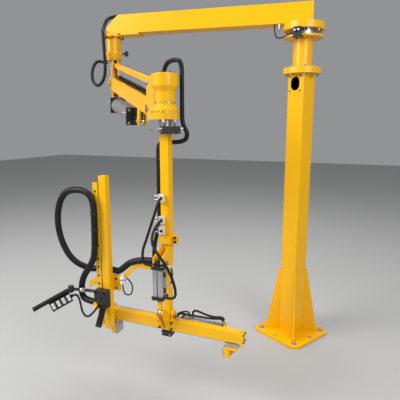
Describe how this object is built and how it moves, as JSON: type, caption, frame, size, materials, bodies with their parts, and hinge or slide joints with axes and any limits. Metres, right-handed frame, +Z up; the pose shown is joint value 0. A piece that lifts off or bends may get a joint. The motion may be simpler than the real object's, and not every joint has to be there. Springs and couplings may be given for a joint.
{
  "type": "column-mounted lift-assist manipulator",
  "caption": "Floor column with slewing jib, parallelogram lifting arm, turning mast and tilting clamp beam with an operator's control handle, for lifting and turning rolls.",
  "frame": {"origin": "column axis at the underside of the base plate", "axes": "+Z up along the column, +X along the clamp beam at rest from handle end to free end, +Y away from the operator's side"},
  "size_m": [1.8666, 1.6434, 2.4411],
  "materials": {
    "yellow_paint": "semi-gloss",
    "bright_steel": "ground",
    "anodised_aluminium": "anodised",
    "black_metal": "satin",
    "black_plastic": "matte",
    "pale_plastic": "satin",
    "grey_pad": "matte",
    "grip_rubber": "ribbed",
    "hose_rubber": "matte"
  },
  "bodies": {
    "base": {"base_plate": "yellow_paint", "base_gussets": "yellow_paint", "column": "yellow_paint", "riser": "yellow_paint", "slew_brake_disc": "yellow_paint", "slew_bearing": "bright_steel"},
    "jib_arm": {"jib": "yellow_paint", "elbow_hub": "yellow_paint", "jib_brake": "black_metal", "jib_hose": "hose_rubber", "elbow_hose": "hose_rubber"},
    "yoke_body": {"yoke": "yellow_paint"},
    "beam_body": {"lift_beam": "yellow_paint", "beam_lugs": "yellow_paint", "beam_conduit": "hose_rubber"},
    "tie_body": {"tie_rod": "yellow_paint"},
    "lift_barrel_body": {"lift_barrel": "anodised_aluminium", "lift_caps": "black_metal"},
    "lift_rod_body": {"lift_rod": "bright_steel"},
    "head_body": {"head": "yellow_paint", "head_bearing": "bright_steel", "head_brake": "black_metal", "arch_hose": "hose_rubber", "swivel_hose": "hose_rubber"},
    "mast_body": {"mast_disc": "yellow_paint", "mast_tube": "yellow_paint", "mast_bar": "yellow_paint", "mast_valves": "pale_plastic", "mast_hose": "hose_rubber", "post_brace": "yellow_paint", "post": "yellow_paint", "post_rail": "bright_steel", "brace_hose": "hose_rubber", "loop_hose": "hose_rubber"},
    "tilt_barrel_body": {"tilt_barrel": "anodised_aluminium", "tilt_caps": "black_metal"},
    "tilt_rod_body": {"tilt_rod": "bright_steel"},
    "tool_body": {"tool_beam": "yellow_paint", "saddle": "yellow_paint", "jaw_guide": "bright_steel", "pinion_box": "black_metal", "clamp_barrel": "anodised_aluminium"},
    "right_jaw_body": {"right_jaw": "yellow_paint", "right_pad": "grey_pad", "right_carriage": "anodised_aluminium"},
    "left_jaw_body": {"left_jaw": "yellow_paint", "left_pad": "grey_pad", "left_carriage": "anodised_aluminium", "clamp_rod": "bright_steel"},
    "handle_body": {"handle_slides": "black_metal", "handle_bar": "yellow_paint", "handle_block": "black_metal", "handle_arm": "black_metal", "hand_grips": "grip_rubber", "control_box": "black_plastic", "control_paddles": "pale_plastic", "bar_hose": "hose_rubber"}
  },
  "joints": [
    {"name": "jib_slew", "type": "hinge", "parent": "base", "child": "jib_arm", "pos_m": [0, 0, 2.237], "axis": [0, 0, 1], "range_deg": [-165, 165]},
    {"name": "elbow_slew", "type": "hinge", "parent": "jib_arm", "child": "yoke_body", "pos_m": [-1.41711, -0.1916, 2.107], "axis": [0, 0, 1], "range_deg": [-200, 5], "deforming": ["elbow_hose"]},
    {"name": "lift", "type": "hinge", "parent": "yoke_body", "child": "beam_body", "pos_m": [-1.41711, -0.1916, 1.924], "axis": [-0.7003, -0.7139, 0], "range_deg": [-18, 24], "deforming": ["arch_hose"]},
    {"name": "tie_swing", "type": "hinge", "parent": "yoke_body", "child": "tie_body", "pos_m": [-1.41711, -0.1916, 2.062], "axis": [-0.7003, -0.7139, 0], "range_deg": [-18, 24]},
    {"name": "head_level", "type": "hinge", "parent": "beam_body", "child": "head_body", "pos_m": [-0.64756, -0.94651, 1.69], "axis": [-0.7003, -0.7139, 0], "range_deg": [-24, 18]},
    {"name": "lift_cylinder_swing", "type": "hinge", "parent": "yoke_body", "child": "lift_barrel_body", "pos_m": [-1.41711, -0.1916, 1.765], "axis": [-0.7003, -0.7139, 0], "range_deg": [-19.04, 25.22]},
    {"name": "lift_cylinder_stroke", "type": "slide", "parent": "lift_barrel_body", "child": "lift_rod_body", "axis": [0.7019, -0.6885, -0.1824], "range_m": [-0.0493, 0.0655]},
    {"name": "mast_turn", "type": "hinge", "parent": "head_body", "child": "mast_body", "pos_m": [-0.54405, -1.04805, 1.609], "axis": [0, 0, 1], "range_deg": [-165, 165], "deforming": ["swivel_hose"]},
    {"name": "tool_tilt", "type": "hinge", "parent": "mast_body", "child": "tool_body", "pos_m": [-0.54405, -1.04805, 0.532], "axis": [1, 0, 0], "range_deg": [0, 90]},
    {"name": "tilt_cylinder_swing", "type": "hinge", "parent": "mast_body", "child": "tilt_barrel_body", "pos_m": [-0.54405, -1.14805, 0.88], "axis": [1, 0, 0], "range_deg": [0, 8]},
    {"name": "tilt_cylinder_stroke", "type": "slide", "parent": "tilt_barrel_body", "child": "tilt_rod_body", "axis": [0, 0, -1], "range_m": [0, 0.1476]},
    {"name": "jaw_close", "type": "slide", "parent": "tool_body", "child": "right_jaw_body", "axis": [-1, 0, 0], "range_m": [0, 0.08]},
    {"name": "left_jaw_close", "type": "slide", "parent": "tool_body", "child": "left_jaw_body", "axis": [1, 0, 0], "range_m": [0, 0.08]},
    {"name": "handle_height", "type": "slide", "parent": "mast_body", "child": "handle_body", "axis": [0, 0, 1], "range_m": [0, 0.3], "deforming": ["loop_hose"]}
  ],
  "couplings": [
    {"joint": "tie_swing", "follows": "lift", "ratio": 1},
    {"joint": "head_level", "follows": "lift", "ratio": -1},
    {"joint": "lift_cylinder_swing", "follows": "lift", "ratio": 1.03},
    {"joint": "lift_cylinder_stroke", "follows": "lift", "m_per_rad": 0.1539},
    {"joint": "tilt_cylinder_swing", "follows": "tool_tilt", "ratio": 0.08057},
    {"joint": "tilt_cylinder_stroke", "follows": "tool_tilt", "m_per_rad": 0.09334},
    {"joint": "left_jaw_close", "follows": "jaw_close", "ratio": 1}
  ]
}
